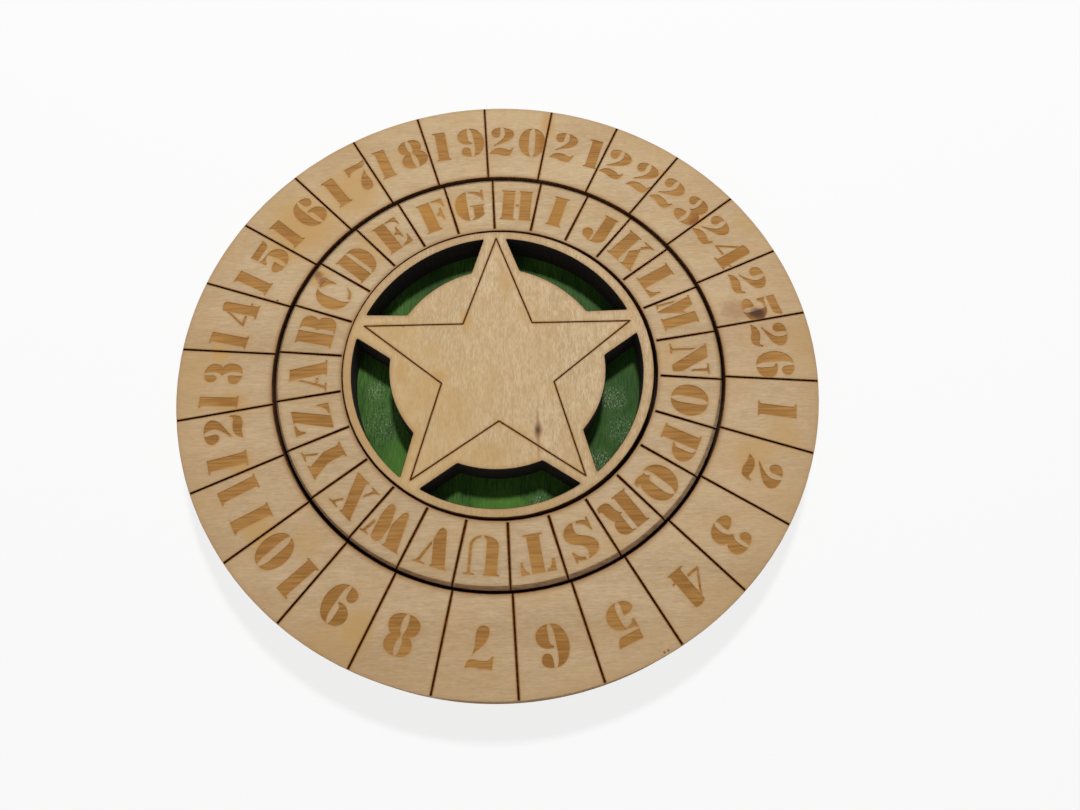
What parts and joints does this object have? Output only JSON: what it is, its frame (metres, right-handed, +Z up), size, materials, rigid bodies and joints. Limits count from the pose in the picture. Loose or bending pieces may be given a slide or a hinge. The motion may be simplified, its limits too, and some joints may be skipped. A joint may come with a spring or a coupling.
{
  "type": "cipher wheel",
  "caption": "Flat round plywood cipher wheel: a lettered ring turns inside a fixed numbered ring, round a star medallion with five openings over a green floor.",
  "frame": {"origin": "centre of the underside of the base disc, which is the face the wheel rests on", "axes": "+Z up out of the dials, which is the axis the letter ring turns about; +Y to the star's upper tip; +X to the right when the dials are read"},
  "size_m": [0.12, 0.12, 0.009],
  "materials": {
    "number_ring_plywood": "bare birch plywood, laser scored and engraved",
    "letter_ring_plywood": "bare birch plywood, laser scored and engraved, sanded edge",
    "medallion_plywood": "bare birch plywood with upright grain, laser scored",
    "stained_plywood": "birch plywood, green stain on the middle of the top face",
    "charred_plywood": "birch plywood with laser-charred edges"
  },
  "bodies": {
    "wheel_body": {"base_disc": "stained_plywood", "spacer_ring": "charred_plywood", "centre_spacer": "charred_plywood", "number_ring": "number_ring_plywood", "star_medallion": "medallion_plywood"},
    "letter_wheel": {"letter_ring": "letter_ring_plywood", "flange_ring": "charred_plywood"}
  },
  "joints": [
    {"name": "letter_wheel_turn", "type": "hinge", "parent": "wheel_body", "child": "letter_wheel", "pos_m": [0, 0, 0.003], "axis": [0, 0, 1], "continuous": true}
  ]
}
